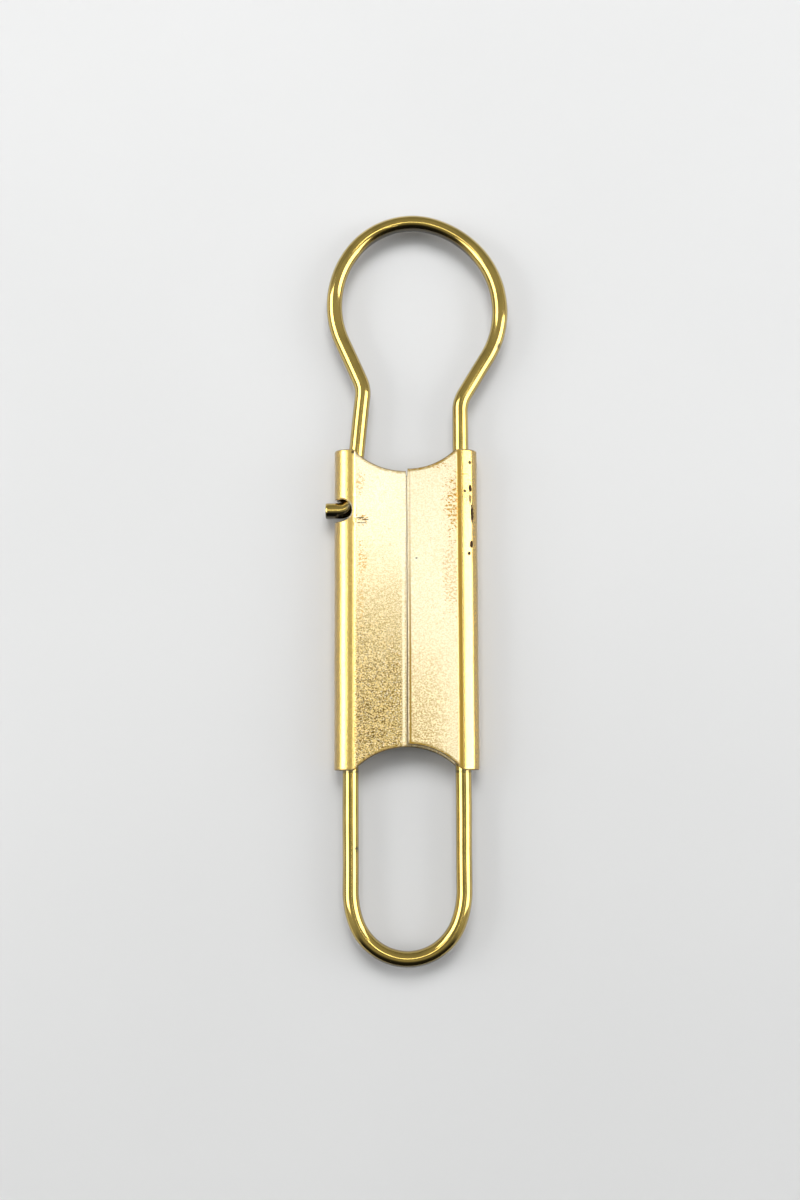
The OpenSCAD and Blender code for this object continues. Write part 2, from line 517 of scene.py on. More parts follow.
@dataclass(frozen=True)
class SatinSheet:
    """Satin plated sheet: pale brass with rust stains and pits on its right tube, and painted shade
    along its creases, tube flanks and rounded ends.
    """

    fresh_high: Colour = (0.94, 0.87, 0.65)
    fresh_low: Colour = (0.78, 0.58, 0.22)
    # Partly tarnish and wear, partly painted shade: the web is darker low on the left and right,
    # where its light falls off.
    aged_shaded_high: Colour = (0.76, 0.58, 0.24)
    aged_shaded_low: Colour = (0.13, 0.07, 0.005)
    worn_shaded_high: Colour = (0.94, 0.81, 0.48)
    worn_shaded_low: Colour = (0.36, 0.19, 0.02)
    tube_high: Colour = (0.76, 0.545, 0.13)
    tube_low: Colour = (0.58, 0.4, 0.08)
    # Painted shade for the tubes' low outer flanks.
    flank: Colour = (0.66, 0.6, 0.52)
    # Painted shade: the dark band along the left tube's crest.
    crest: Colour = (0.38, 0.26, 0.06)
    rust: Colour = (0.58, 0.31, 0.035)
    # Dark brown for the painted shade in the right crease, the line beside the seam and the
    # browning at the scooped ends.
    fold: Colour = (0.36, 0.22, 0.03)
    pit: Colour = (0.05, 0.025, 0.01)
    cut: Colour = (0.72, 0.66, 0.56)
    # Painted shade: a dark outline along the sheet's rounded ends.
    end_shade: Colour = (0.14, 0.09, 0.03)

    grain: Noise = Noise((1.0, 1.15, 1.0), 3.8, 2.0, 0.85)
    fine: Noise = Noise((1.0, 1.0, 1.0), 7.98, 2.0, 0.6)
    cloud: Noise = Noise((1.0, 0.7, 1.0), 0.16, 3.0)
    dashes: Noise = Noise((0.7, 3.0, 1.0), 1.7, 3.0, 0.7)
    dots: Noise = Noise((0.8, 1.2, 1.0), 2.7, 2.0, 0.75)
    pitted: Noise = Noise((1.0, 0.8, 1.0), 2.3, 3.0, 0.7)
    # Painted glints: bright specks of the pale top colour over the lower web.
    sparkles: Noise = Noise((1.0, 1.2, 1.0), 5.5, 1.0)

    front: Ramp = Ramp(0.5, 1.0)
    grainy: Ramp = Ramp(0.42, 0.58)
    wander: float = 14.0
    left_age_and_shade: Ramp = Ramp(17.0, -16.0)
    left_side: Ramp = Ramp(0.3, -0.3)
    left_rim: Line = Line(-0.45, Ramp(0.42, 0.0))
    left_depth: float = 0.52
    left_sparkle: float = 0.8
    right_wear_and_shade: Ramp = Ramp(4.0, -20.0)
    right_inside: Ramp = Ramp(10.0, 2.0)
    right_side: Ramp = Ramp(0.0, 0.4)
    right_depth: float = 0.38
    right_sparkle: float = 0.4
    fresh_depth: float = 0.45
    sparkle: Ramp = Ramp(0.57, 0.68)

    tube_from: float = 0.05
    tube_full: float = 0.45
    tube_depth: float = 0.4
    # Painted shade: where the tubes' outer flanks are darkened low down.
    low_side: Ramp = Ramp(1.85, 1.5)
    outer_side: Ramp = Ramp(9.4, 9.8)
    crest_line: Line = Line(-8.6, Ramp(0.5, 0.22))
    crest_grain: float = 0.25
    crest_shade_weight: float = 0.85
    # Painted shade: a dark line along the right crease.
    fold_line: Line = Line(8.33, Ramp(0.4, 0.2))
    fold_dots: float = 0.3
    fold_least: float = 0.85
    lip_line: Line = Line(0.58, Ramp(0.2, 0.08))
    lip_run: Ramp = Ramp(16.0, -8.0, 0.35, 1.0)

    brown_right: Ramp = Ramp(-0.3, 0.3, 0.0, 0.35)
    brown_dashes: Ramp = Ramp(0.4, 0.6, 0.25, 0.75)
    brown_edge: Ramp = Ramp(0.15, 0.6)
    brown_inside: Ramp = Ramp(8.6, 7.9)
    loose_dashes: Ramp = Ramp(0.69, 0.78, 0.0, 0.6)
    loose_dots: Ramp = Ramp(0.6, 0.7, 0.0, 0.35)
    loose_pits: Ramp = Ramp(0.74, 0.765, 0.0, 0.8)
    outline: Ramp = Ramp(0.7, 0.88, 0.0, 0.8)

    grain_relief: float = 0.6
    fine_relief: float = 0.4
    pit_relief: float = 0.6
    relief_depth: float = 0.05
    web_haze: float = 0.38
    tube_haze: float = 0.2
    fine_haze: float = 0.1
    dirt_and_shade_haze: float = 0.4
    coat: float = 0.8
    coat_haze: float = 0.3
    coat_index: float = 1.8
    dirt_shine: float = 0.1

    stains: tuple[Mark, ...] = (
        Mark((7.3, 16.2), (1.4, 5.2), 1.0, 1.0),
        Mark((-7.0, 19.6), (0.9, 2.4), 0.6, 1.0),
        Mark((-7.0, 13.7), (1.2, 0.9), 1.0, 1.0),
        Mark((-6.9, 7.5), (0.8, 3.2), 0.75, 1.0),
        Mark((-7.0, 1.0), (0.6, 5.0), 0.5, 1.0),
        Mark((6.9, 5.0), (1.4, 7.0), 0.5, 1.0),
        Mark((9.1, 20.8), (0.6, 0.16), 0.8, 0.2),
        Mark((9.3, 17.6), (0.9, 1.2), 0.7, 0.8),
        Mark((5.0, 22.3), (2.6, 0.7), 0.7, 1.0),
    )
    pits: tuple[Mark, ...] = (
        Mark((10.0, 18.6), (0.28, 0.7), 1.0, 0.2),
        Mark((9.2, 18.1), (0.32, 0.25), 0.9, 0.3),
        Mark((10.0, 16.9), (0.25, 0.9), 0.8, 0.4),
        Mark((10.3, 14.6), (0.3, 1.8), 1.0, 0.4),
        Mark((10.15, 9.8), (0.28, 0.62), 1.0, 0.1),
        Mark((9.78, 8.35), (0.26, 0.28), 1.0, 0.1),
        Mark((10.0, 22.7), (0.26, 0.3), 0.9, 0.1),
        Mark((-8.27, 24.3), (0.26, 0.24), 0.9, 0.1),
        Mark((-7.1, 14.0), (0.75, 0.13), 0.8, 0.2),
        Mark((-6.3, 13.7), (0.6, 0.12), 0.8, 0.2),
        Mark((-6.8, 13.2), (0.9, 0.1), 0.7, 0.3),
        Mark((1.6, 7.6), (0.2, 0.14), 0.8, 0.2),
    )

    @staticmethod
    def _marks(marks: tuple[Mark, ...], lay: Wired, flecks: Wired) -> Wired:
        """Draws several marks.

        Args:
            marks: the marks.
            lay: the place on the sheet.
            flecks: a noise that breaks their outlines.

        Returns:
            How much of the strongest mark shows.
        """
        shown: Wired | float = 0.0
        for mark in marks:
            shown = mark.drawn(lay, flecks).most(shown)
        return shown

    def _web(self, at: SheetPlaces) -> Wired:
        """Colours the web: fresh at the top and darker on the lower left and lower right, partly
        tarnish and wear and partly painted shade, with painted glints.

        Args:
            at: the places on the sheet.

        Returns:
            The colour.
        """
        mix = at.recipe.mix
        wander = at.y + self.cloud.laid(at.lay) * self.wander - self.wander / 2
        off_rim = 1.0 - self.left_rim.drawn(at.x)
        # Partly tarnish and wear, partly painted shade towards the bottom of the web.
        left = self.left_age_and_shade.of(wander) * self.left_side.of(at.x) * off_rim
        right = self.right_wear_and_shade.of(wander) * self.right_inside.of(at.x) * self.right_side.of(at.x)
        high = mix(right, mix(left, self.fresh_high, self.aged_shaded_high), self.worn_shaded_high)
        low = mix(right, mix(left, self.fresh_low, self.aged_shaded_low), self.worn_shaded_low)
        depth = left * self.left_depth + right * self.right_depth + self.fresh_depth
        matt = mix(at.grainy * depth, high, low)
        # Painted glints, strongest on the lower left.
        shine = (left * self.left_sparkle + right * self.right_sparkle).least(self.left_sparkle)
        return mix(self.sparkle.of(self.sparkles.laid(at.lay)) * shine, matt, self.fresh_high)

    def _tube(self, at: SheetPlaces, crest: Wired) -> Wired:
        """Colours the tubes: smoother than the web, with painted shade low down on their outer
        flanks.

        Args:
            at: the places on the sheet.
            crest: how much of the painted shade along the left tube's crest shows.

        Returns:
            The colour.
        """
        tube = at.recipe.mix(at.grainy * self.tube_depth, self.tube_high, self.tube_low)
        # Painted shade low on the tubes' outer flanks.
        low_side = self.low_side.of(at.z) * self.outer_side.of(at.off_middle)
        return at.recipe.mix(crest, at.recipe.mix(low_side, tube, tube * self.flank), self.crest)

    def _browned(self, at: SheetPlaces) -> Wired:
        """Draws the browning along the scooped ends.

        Args:
            at: the places on the sheet.

        Returns:
            How much of it shows.
        """
        brown = self.brown_right.of(at.x) + self.brown_dashes.of(at.dashes)
        inside = self.brown_inside.of(at.off_middle)
        return self.brown_edge.of(at.near_edge) * inside * brown * at.front

    def material(self, web_edge: float) -> bpy.types.Material:
        """Makes the material.

        Args:
            web_edge: where the web meets a crease, in millimetres from the middle.

        Returns:
            The material.
        """
        made, recipe = new_material("satin_sheet_brass")
        at = SheetPlaces(recipe, self)
        fine, pitted = self.fine.laid(at.lay), self.pitted.laid(at.lay)
        on_tube = Ramp(web_edge + self.tube_from, web_edge + self.tube_full).of(at.off_middle)
        grained = at.grainy * self.crest_grain + (1.0 - self.crest_grain)
        # Painted shade along the left tube's crest, broken by the grain.
        crest = self.crest_line.drawn(at.x) * at.front * grained
        # Painted shade along the right crease, broken by dots.
        dotted = at.dots * self.fold_dots + self.fold_least
        fold = (self.fold_line.drawn(at.x) * at.front * dotted).least(1.0)
        lip = self.lip_line.drawn(at.x) * at.front * self.lip_run.of(at.y)
        loose = self.loose_dashes.of(at.dashes).most(self.loose_dots.of(at.dots))
        stains = self._marks(self.stains, at.lay, at.dots).most(loose) * at.front
        loose_pits = self.loose_pits.of(pitted)
        pits = self._marks(self.pits, at.lay, pitted).most(loose_pits) * at.front
        # Painted shade along the rounded ends of the sheet.
        outline = self.outline.of(at.near_edge)
        colour = recipe.mix(on_tube, self._web(at), self._tube(at, crest))
        for share, over in (
            (fold.most(lip), self.fold),
            (stains, self.rust),
            (self._browned(at), self.fold),
            (pits, self.pit),
            (recipe.kept(Kept.CUT_EDGE, "Fac"), self.cut),
            (outline, self.end_shade),
        ):
            colour = recipe.mix(share, colour, over)
        # The painted shade along the crest, crease and ends, with the pits and the line beside the
        # seam, makes the sheet duller and less metal.
        dirt_and_shade = fold.most(lip).most(pits).most(crest * self.crest_shade_weight).most(outline)
        bare = 1.0 - dirt_and_shade.least(1.0)
        relief = at.grain * self.grain_relief + fine * self.fine_relief - pits * self.pit_relief
        haze = on_tube * (self.tube_haze - self.web_haze) + fine * self.fine_haze + self.web_haze
        recipe.show(recipe.principled({
            "Base Color": colour,
            "Metallic": bare,
            "Roughness": haze + dirt_and_shade * self.dirt_and_shade_haze,
            "Coat Weight": on_tube * bare * self.coat,
            "Coat Roughness": self.coat_haze,
            "Coat IOR": self.coat_index,
            "Specular IOR Level": self.dirt_shine,
            "Normal": recipe.bump(relief, self.relief_depth, 1.0),
        }))
        return made


@dataclass(frozen=True)
class BoardPaint:
    """The matt pale board that the clip lies on, which fades into the backdrop far from it."""

    pale: Colour = (0.765, 0.77, 0.775)
    cloudy: Colour = (0.74, 0.745, 0.75)
    far: Colour = (0.8, 0.8, 0.8)
    cloud: Noise = Noise((1.0, 1.0, 1.0), 9.0)
    clouded: Ramp = Ramp(0.3, 0.7)
    fade: Ramp = Ramp(0.24, 0.46)
    haze: float = 0.7
    shine: float = 0.2

    def material(self) -> bpy.types.Material:
        """Makes the board's material.

        Returns:
            The material.
        """
        made, recipe = new_material("pale_board")
        place = recipe.node("ShaderNodeTexCoord", {}, {}, "Object")
        cloud = self.clouded.of(self.cloud.laid(place))
        board = recipe.principled({
            "Base Color": recipe.mix(cloud, self.pale, self.cloudy),
            "Roughness": self.haze,
            "Specular IOR Level": self.shine,
        })
        seen = recipe.node("ShaderNodeLightPath", {}, {}, "Is Camera Ray")
        shaders = {0: self.fade.of(place.length()) * seen, 1: board, 2: recipe.glow(self.far)}
        recipe.show(recipe.node("ShaderNodeMixShader", {}, shaders))
        return made

    def backdrop(self) -> bpy.types.Material:
        """Makes the backdrop's material, in the tone that the board fades to.

        Returns:
            The material.
        """
        made, recipe = new_material("pale_backdrop")
        recipe.show(recipe.glow(self.far))
        return made


def sleeve_middle() -> np.ndarray:
    """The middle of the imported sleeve, in millimetres in the frame."""
    low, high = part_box("sleeve")
    return np.array((low + high) / 2) / MM


def put_in_scene(name: str, data: bpy.types.ID) -> bpy.types.Object:
    """Makes an object and puts it in the scene.

    Args:
        name: the object's name.
        data: its mesh, light or camera.

    Returns:
        The object.
    """
    made = bpy.data.objects.new(name, data)
    bpy.context.scene.collection.objects.link(made)
    return made


def add_mesh(
    name: str,
    points: np.ndarray,
    faces: Faces,
    material: bpy.types.Material,
    kept: dict[Kept, np.ndarray],
) -> bpy.types.Object:
    """Adds a smooth mesh piece to the scene.

    Args:
        name: the piece's name.
        points: its vertices about the sleeve's middle, in millimetres.
        faces: its faces.
        material: its material.
        kept: numbers or vectors kept on each vertex.

    Returns:
        The new object.
    """
    mesh = bpy.data.meshes.new(name)
    mesh.from_pydata(((points + sleeve_middle()) * MM).tolist(), [], faces)
    mesh.validate()
    mesh.shade_smooth()
    for label, values in kept.items():
        kind, slot = ("FLOAT_VECTOR", "vector") if values.ndim == 2 else ("FLOAT", "value")
        layer = mesh.attributes.new(label.value, kind, "POINT")
        layer.data.foreach_set(slot, values.astype(np.float32).ravel())
    mesh.materials.append(material)
    log.info("%s: %d faces", name, len(faces))
    return put_in_scene(name, mesh)


class Walk:
    """A centreline walked in small steps, as straights and bends."""

    def __init__(self, start: Point, heading: float, step: float) -> None:
        """Stands at a point, facing a heading.

        Args:
            start: where the walk starts.
            heading: where it faces, in degrees.
            step: the longest step.
        """
        self.place = np.array(start, float)
        self.heading = heading
        self.step = step
        self.points: list[np.ndarray] = [self.place]
        self.headings: list[float] = [heading]

    def straight(self, length: float) -> None:
        """Walks straight on.

        Args:
            length: how far.
        """
        count = max(1, math.ceil(length / self.step))
        for _ in range(count):
            self.place = self.place + length / count * along(self.heading)
            self._note()

    def bend(self, radius: float, turn: float) -> None:
        """Walks round a bend.

        Args:
            radius: the bend's radius.
            turn: how far it turns, in degrees, to the left if above 0.
        """
        side = math.copysign(1.0, turn)
        centre = self.place + side * radius * across(self.heading)
        count = max(2, math.ceil(math.radians(abs(turn)) * radius / self.step))
        for _ in range(count):
            self.heading += turn / count
            self.place = centre - side * radius * across(self.heading)
            self._note()

    def _note(self) -> None:
        """Keeps the place and heading just reached."""
        self.points.append(self.place)
        self.headings.append(self.heading)


@dataclass(frozen=True)
class Ring:
    """One ring of a swept wire: its middle, the way to its left, its radius, and how far along."""

    middle: np.ndarray
    left: np.ndarray
    radius: float
    walked: float


@dataclass
class Wire:
    """The bent wire, drawn as two swept lengths that meet out of sight inside the sleeve."""

    finish: DrawnWire = field(default_factory=DrawnWire)
    wire_r: float = 1.25
    tip_bevel: float = 0.2
    bevel_shares: tuple[float, ...] = (0.35, 0.7, 1.0)
    cap_shares: tuple[float, ...] = (0.6, 0.25)
    sides: int = 56
    step: float = 0.4
    meet_y: float = -5.0
    leg_x: float = 8.65
    end_y: float = 25.0
    kink_r: float = 5.0
    crown_r: float = 11.75
    crown_shift: float = 1.2
    crown_h: float = 25.42
    right_bulge: float = 2.15
    left_bulge: float = 0.71
    right_drop: float = 2.82
    left_drop: float = 1.85
    right_flare: float = 31.0
    left_flare: float = 24.0
    latch_lean: float = 5.9
    pin_below_end: float = 9.6
    pin_tip_x: float = -12.55
    pin_bend_r: float = 2.0
    key_leg: float = 18.0
    shoulder_r: float = 14.0
    shoulder_turn: float = 20.0
    key_tip_in: float = 4.5
    crown_spring: Point = (8.0, -6.4)
    key_spring: Point = (5.0, -5.0)
    sways: tuple[Ripple, ...] = (Ripple(0.012, 1 / 2.1, 1.0), Ripple(0.02, 1 / 5.3, 2.0))
    swell: Ripple = Ripple(0.003, 1 / 1.7, 3.0)
    upper_phase: float = 0.4
    lower_phase: float = 1.9
    # Painted shade on the sides facing the key end, on the lower half of the pin and on the wire
    # inside the left tube seen through the notch; the nicks are real dark marks.
    key_side_shade: Ramp = Ramp(0.45, 0.8, 0.0, 0.93)
    notch_reach: float = 2.5
    pin_x: float = -9.3
    pin_shade: Ramp = Ramp(0.05, 0.45, 0.0, 0.9)
    pocket_shade: Ramp = Ramp(-9.7, -8.8, 0.0, 0.9)
    nicks: tuple[Point, ...] = ((-7.73, -36.74), (14.73, 41.68))
    nick_r: float = 0.4
    nick_grime: Ramp = Ramp(1.3, 0.3)

    def _side_radius(self, bulge: float, drop: float) -> float:
        """The radius of a side that bulges past the crown's circle and is widest below it."""
        return self.crown_r + bulge / 2 + drop**2 / (2 * bulge)

    def upper_walk(self) -> Walk:
        """The run from the right leg, round the belt loop and down the latch leg to the pin.

        Returns:
            The walk.
        """
        right_up = RIGHT_TURN - self.right_flare
        left_up = RIGHT_TURN + self.left_flare
        latch_up = RIGHT_TURN - self.latch_lean
        crown = np.array([self.crown_shift, self.end_y + self.crown_h])
        right_r = self._side_radius(self.right_bulge, self.right_drop)
        left_r = self._side_radius(self.left_bulge, self.left_drop)
        right = crown + [self.crown_r + self.right_bulge - right_r, -self.right_drop]
        left = crown + [left_r - self.left_bulge - self.crown_r, -self.left_drop]
        right_end = right - right_r * across(right_up)
        left_end = left + left_r * across(left_up)
        right_leg = np.array([self.leg_x, self.end_y])
        pin_corner = np.array([-self.leg_x, self.end_y - self.pin_below_end])
        right_corner = self._crossing(right_end, right_up, right_leg, RIGHT_TURN)
        left_corner = self._crossing(left_end, left_up, pin_corner, latch_up)
        right_join = bearing(crown - right)
        left_join = bearing(crown - left)
        right_setback = self._setback(self.kink_r, self.right_flare)
        left_setback = self._setback(self.kink_r, left_up - latch_up)
        pin_setback = self._setback(self.pin_bend_r, latch_up)
        walk = Walk((self.leg_x, self.meet_y), RIGHT_TURN, self.step)
        walk.straight(right_corner[1] - right_setback - self.meet_y)
        walk.bend(self.kink_r, -self.right_flare)
        walk.straight(np.linalg.norm(right_end - right_corner) - right_setback)
        walk.bend(right_r, right_join - right_up + RIGHT_TURN)
        walk.bend(self.crown_r, left_join - right_join)
        walk.bend(left_r, left_up + RIGHT_TURN - left_join)
        walk.straight(np.linalg.norm(left_end - left_corner) - left_setback)
        walk.bend(self.kink_r, latch_up - left_up)
        walk.straight(np.linalg.norm(left_corner - pin_corner) - left_setback - pin_setback)
        walk.bend(self.pin_bend_r, -latch_up)
        walk.straight(walk.place[0] - self.pin_tip_x)
        return walk

    def lower_walk(self) -> Walk:
        """The run from the right leg, round the key loop and up to the free end in the sleeve.

        Returns:
            The walk.
        """
        turn = math.radians(self.shoulder_turn)
        key_r = (self.leg_x - self.shoulder_r * (1 - math.cos(turn))) / math.cos(turn)
        walk = Walk((self.leg_x, self.meet_y), -RIGHT_TURN, self.step)
        walk.straight(self.meet_y + self.end_y + self.key_leg)
        walk.bend(self.shoulder_r, -self.shoulder_turn)
        walk.bend(key_r, 2 * self.shoulder_turn - HALF_TURN)
        walk.bend(self.shoulder_r, -self.shoulder_turn)
        walk.straight(self.key_leg + self.key_tip_in)
        return walk

    @staticmethod
    def _crossing(start: np.ndarray, a: float, other: np.ndarray, b: float) -> np.ndarray:
        """Where two lines cross, each given by a point and a heading."""
        return start + cross(other - start, along(b)) / cross(along(a), along(b)) * along(a)

    @staticmethod
    def _setback(radius: float, turn: float) -> float:
        """How far before its corner a bend starts."""
        return radius * math.tan(math.radians(abs(turn)) / 2)

    def _rings(self, walk: Walk, phase: float) -> list[Ring]:
        """Sets the wire's rings along a walk, and bevels and closes its far end.

        Args:
            walk: the centreline.
            phase: shifts the slight waviness of the hand-bent wire.

        Returns:
            The rings.
        """
        centres = np.array(walk.points)
        walked = lengths_along(centres)
        left = np.array([across(heading) for heading in walk.headings])
        sway = sum(ripple.at(walked, phase) for ripple in self.sways)
        radii = self.wire_r * (1 + self.swell.at(walked, phase))
        rings = [Ring(*ring) for ring in zip(centres + sway[:, None] * left, left, radii, walked)]
        last, ahead = rings.pop(), along(walk.headings[-1])
        for share in self.bevel_shares:
            angle = share * math.pi / 2
            out = self.tip_bevel * (math.sin(angle) - 1.0)
            radius = self.wire_r - self.tip_bevel * (1 - math.cos(angle))
            rings.append(Ring(last.middle + out * ahead, last.left, radius, last.walked + out))
        for share in self.cap_shares:
            radius = (self.wire_r - self.tip_bevel) * share
            rings.append(Ring(last.middle, last.left, radius, last.walked))
        return rings

    def _sweep(self, rings: list[Ring]) -> tuple[np.ndarray, np.ndarray, Faces]:
        """Sweeps the wire's round section along its rings.

        Args:
            rings: the rings.

        Returns:
            The vertices, the lay vector of each, and the faces.
        """
        angles = np.arange(self.sides) * 2 * math.pi / self.sides
        flat, high = np.cos(angles), np.sin(angles)
        points, lays = [], []
        for ring in rings:
            spread = np.outer(flat * ring.radius, ring.left) + ring.middle
            points.append(np.column_stack([spread, high * ring.radius]))
            lays.append(np.column_stack([flat, high, np.full(self.sides, ring.walked)]))
        for ring in (rings[0], rings[-1]):
            points.append(np.array([[*ring.middle, 0.0]]))
            lays.append(np.array([[0.0, 0.0, ring.walked]]))
        circles = [ring_at(i, self.sides) for i in range(len(rings))]
        faces: Faces = []
        for near, far in zip(circles, circles[1:]):
            faces += stitched(near, far)
        start = len(rings) * self.sides
        faces += fan(start, circles[0][::-1]) + fan(start + 1, circles[-1])
        return np.vstack(points), np.vstack(lays), faces

    def _shade_and_nicks(self, points: np.ndarray) -> np.ndarray:
        """How dark a sweep is painted: painted shade on the sides facing the key end and in the
        notch, and the real dark of its nicks.

        Args:
            points: the sweep's vertices, ring by ring, and then the middles of its two ends.

        Returns:
            The painted shade and the dark of the nicks on each vertex, from 0 to 1.
        """
        rings = points[:-2].reshape(-1, self.sides, 3)
        x, y, z = np.moveaxis(rings, 2, 0)
        facing = (rings.mean(axis=1)[:, None, 1] - y) / self.wire_r
        by_notch = np.abs(y - self.end_y + self.pin_below_end) < self.notch_reach
        pin = self.pin_shade.over(facing) * (x < self.pin_x)
        pocket = self.pocket_shade.over(x) * (x < 0)
        # Painted shade on the sides facing the key end and in the notch.
        shade_and_nicks = np.maximum(self.key_side_shade.over(facing), np.maximum(pin, pocket) * by_notch)
        for nick in self.nicks:
            away = np.hypot(x - nick[0], y - nick[1]) / self.nick_r
            shade_and_nicks = np.maximum(shade_and_nicks, self.nick_grime.over(away) * (z > 0))
        return np.append(shade_and_nicks.ravel(), [0.0, 0.0])

    def _lay(
        self, name: str, walk: Walk, phase: float, finish: bpy.types.Material
    ) -> bpy.types.Object:
        """Lays one length of the wire.

        Args:
            name: the piece's name.
            walk: its centreline.
            phase: shifts its slight waviness.
            finish: its material.

        Returns:
            The piece.
        """
        points, lays, faces = self._sweep(self._rings(walk, phase))
        kept = {Kept.WIRE_LAY: lays, Kept.WIRE_PLACE: points, Kept.SHADE_AND_NICKS: self._shade_and_nicks(points)}
        return add_mesh(name, points, faces, finish, kept)

    @staticmethod
    def _hang(piece: bpy.types.Object, arm: str, spring: Point, *nodes: str) -> None:
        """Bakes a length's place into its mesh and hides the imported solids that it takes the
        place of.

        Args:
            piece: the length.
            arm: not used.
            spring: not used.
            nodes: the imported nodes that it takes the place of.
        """
        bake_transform(piece)
        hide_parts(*nodes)

    def build(self) -> list[bpy.types.Object]:
        """Builds both lengths, bakes each in place and hides the imported solids.

        Returns:
            The upper and the lower length.
        """
        finish = self.finish.material()
        upper = self._lay("belt_loop_wire", self.upper_walk(), self.upper_phase, finish)
        lower = self._lay("key_loop_wire", self.lower_walk(), self.lower_phase, finish)
        self._hang(upper, "latch", self.crown_spring, "spine_wire", "latch_bow", "latch_leg")
        self._hang(lower, "key_arm", self.key_spring, "spine_wire", "key_arm")
        return [upper, lower]


@dataclass
class Sleeve:
    """The folded sheet: two rolled tubes, a pressed web, a seam, scooped ends and a notch."""

    finish: SatinSheet = field(default_factory=SatinSheet)
    bottom_y: float = -24.95
    top_y: float = 24.8
    sheet_t: float = 0.7
    tube_x: float = 8.85
    tube_r: float = 1.95
    tube_step: float = 4.0
    tube_lap: float = 8.1
    web_z: float = 1.7
    web_step: float = 0.33
    crease_in: float = 7.75
    crease_lead: float = 0.4
    crease_step: float = 0.06
    left_crease_w: float = 0.5
    left_crest_x: float = 8.3
    fold_in: float = 7.9
    right_crease_w: float = 0.5
    right_crest_x: float = 8.55
    facets: tuple[Point, ...] = ((22.0, 1.763), (50.0, 1.823))
    facet_crispness: float = 24.0
    facet_least: float = 0.3
    seam_gap: float = 0.1
    seam_zone: float = 1.0
    seam_step: float = 0.12
    seam_shift: float = 0.14
    seam_rise: float = 0.25
    left_sprung: float = 0.25
    right_sprung: float = 0.85
    unsprung: float = 0.15
    crease_dip: float = 0.3
    waves: tuple[Ripple, ...] = (Ripple(0.012, 0.9, 0.33), Ripple(0.01, -0.4, 0.71))
    scoop_w: float = 16.4
    scoop_depth: float = 3.5
    flap_step: float = 0.4
    edge_round: float = 0.22
    edge_reach: float = 0.75
    end_rows: tuple[float, ...] = (0.0, 0.1, 0.2, 0.3, 0.4, 0.5, 0.65, 0.85, 1.1, 1.5, 2.0)
    row_step: float = 0.5
    row_gap: float = 0.2
    notch_round: float = 0.28
    notch_y: float = 15.25
    notch_half: float = 1.7
    notch_in: float = 8.35
    notch_margin: float = 0.5
    notch_rings: tuple[float, ...] = (0.85, 0.7, 0.55, 0.4, 0.28, 0.18, 0.09, 0.0)

    @property
    def length(self) -> float:
        """The sleeve's length along the tubes."""
        return self.top_y - self.bottom_y

    def _web(self, crease_in: float, crease_w: float) -> np.ndarray:
        """The front's section from the seam to the top of a tube, as plane points with x above 0.

        Args:
            crease_in: where its crease starts.
            crease_w: how wide its crease is.

        Returns:
            The points.
        """
        lead, out = crease_in - self.crease_lead, crease_in + crease_w
        x = np.concatenate([
            np.arange(self.seam_gap / 2, self.seam_zone, self.seam_step),
            np.arange(self.seam_zone, lead, self.web_step),
            np.arange(lead, out - self.crease_step / 2, self.crease_step),
            [out],
        ])
        lift = ease((x - crease_in) / crease_w)
        return np.column_stack([x, self.web_z + (self.tube_r - self.web_z) * lift])

    def _tube(self, start_x: float, faceted: bool) -> np.ndarray:
        """A tube's section from where its crease ends, round its outside, to the back's crease.

        Args:
            start_x: where the front crease ends.
            faceted: True if its front is pressed to two slopes.

        Returns:
            The points, with x above 0.
        """
        first = math.degrees(math.asin((start_x - self.tube_x) / self.tube_r))
        turn = np.radians(np.arange(first, HALF_TURN + self.tube_lap, self.tube_step))
        radius = np.full(len(turn), self.tube_r)
        if faceted:
            total = np.exp(-self.facet_crispness * radius)
            for slope, inward in self.facets:
                flat = inward / np.maximum(np.cos(turn - math.radians(slope)), self.facet_least)
                total += np.exp(-self.facet_crispness * flat)
            radius = -np.log(total) / self.facet_crispness
        return np.column_stack([self.tube_x + radius * np.sin(turn), radius * np.cos(turn)])

    def section(self) -> np.ndarray:
        """The middle surface, walked from the seam round the left tube, back and right tube.

        Returns:
            The stations' plane points.
        """
        web = self._web(self.crease_in, self.left_crease_w)
        left = np.vstack([web[:-1], self._tube(web[-1, 0], False)]) * [-1, 1]
        right = self._web(self.fold_in, self.right_crease_w)
        right = np.vstack([right[:-1], self._tube(right[-1, 0], True)])
        back_left = web[::-1] * [-1, -1]
        back_right = web[1:] * [1, -1]
        return np.vstack([left, back_left, back_right, right[::-1]])

    def warp(self, x: np.ndarray, y: np.ndarray, outer_share: np.ndarray) -> np.ndarray:
        """How far the front web's two flaps stand off their plain height.

        They spring up towards the seam, and their outer face is coined down towards the creases.

        Args:
            x: place across the sleeve.
            y: place along it.
            outer_share: 1 on the sheet's outer face and 0 on its inner face.

        Returns:
            The extra height.
        """
        inner = np.where(x < 0, self.crease_in, self.fold_in)
        outer = np.where(x < 0, self.left_crest_x, self.right_crest_x)
        seam = np.clip(1 - np.abs(x) / inner, 0.0, 1.0)
        up = (y - self.bottom_y) / self.length
        least = np.where(x < 0, self.left_sprung, self.right_sprung)
        sprung = least + (1 - least) * ease(up * (1 + self.unsprung) - self.unsprung)
        crease = np.clip((outer - np.abs(x)) / (outer - inner), 0.0, 1.0)
        dip = -self.crease_dip * np.where(np.abs(x) < inner, 1 - seam, ease(crease)) * outer_share
        return sprung * (np.where(np.abs(x) < inner, self.seam_rise * seam, 0.0) + dip)

